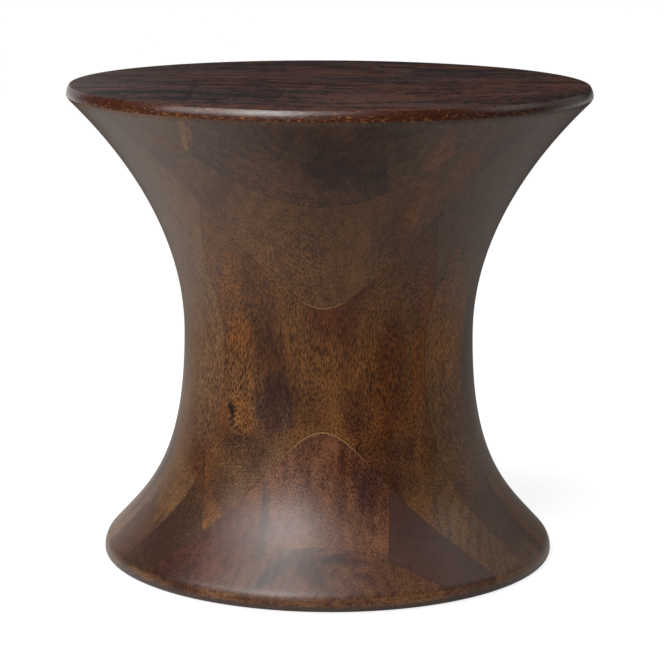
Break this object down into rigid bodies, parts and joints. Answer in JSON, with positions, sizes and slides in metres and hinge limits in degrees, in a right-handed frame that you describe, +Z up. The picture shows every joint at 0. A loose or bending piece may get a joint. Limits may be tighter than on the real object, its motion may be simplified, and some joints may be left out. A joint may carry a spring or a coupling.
{
  "type": "drum side table",
  "caption": "Round hourglass side table turned from a block of glued upright planks, with a thin round board top on hidden dowels.",
  "frame": {"origin": "centre of the footprint, on the floor", "axes": "+Z up, the front looks along -Y, the plank layers lie parallel to the XZ plane"},
  "size_m": [0.5, 0.5, 0.4575],
  "materials": {
    "body_wood": "dark stained hardwood, semi-gloss lacquer",
    "top_wood": "dark stained hardwood, semi-gloss lacquer",
    "dowel_wood": "plain turned dowel",
    "glide_plastic": "moulded, matt",
    "nail_steel": "plain wire nail"
  },
  "bodies": {
    "root": {"back_plank_1_centre": "body_wood", "back_plank_1_lower_left": "body_wood", "back_plank_1_lower_right": "body_wood", "back_plank_1_upper_left": "body_wood", "back_plank_1_upper_right": "body_wood", "back_plank_2_lower_left": "body_wood", "back_plank_2_lower_right": "body_wood", "back_plank_2_upper_left": "body_wood", "back_plank_2_upper_right": "body_wood", "back_plank_3_lower_left": "body_wood", "back_plank_3_lower_right": "body_wood", "back_plank_3_upper_centre": "body_wood", "back_plank_3_upper_left": "body_wood", "back_plank_3_upper_right": "body_wood", "back_plank_4_upper": "body_wood", "core_plank_1_left": "body_wood", "core_plank_1_right": "body_wood", "core_plank_2_left": "body_wood", "core_plank_2_right": "body_wood", "core_plank_3_left": "body_wood", "core_plank_3_right": "body_wood", "core_plank_4_left": "body_wood", "core_plank_4_right": "body_wood", "floor_glides": "glide_plastic", "front_plank_1_centre": "body_wood", "front_plank_1_lower_left": "body_wood", "front_plank_1_lower_right": "body_wood", "front_plank_1_upper_left": "body_wood", "front_plank_1_upper_right": "body_wood", "front_plank_2_lower_left": "body_wood", "front_plank_2_lower_right": "body_wood", "front_plank_2_upper_left": "body_wood", "front_plank_2_upper_right": "body_wood", "front_plank_3_lower_left": "body_wood", "front_plank_3_lower_right": "body_wood", "front_plank_3_upper_centre": "body_wood", "front_plank_3_upper_left": "body_wood", "front_plank_3_upper_right": "body_wood", "front_plank_4_upper": "body_wood", "glide_nails": "nail_steel", "top_board_1": "top_wood", "top_board_2": "top_wood", "top_board_3": "top_wood", "top_board_4": "top_wood", "top_board_5": "top_wood", "top_dowels": "dowel_wood"}
  },
  "joints": []
}
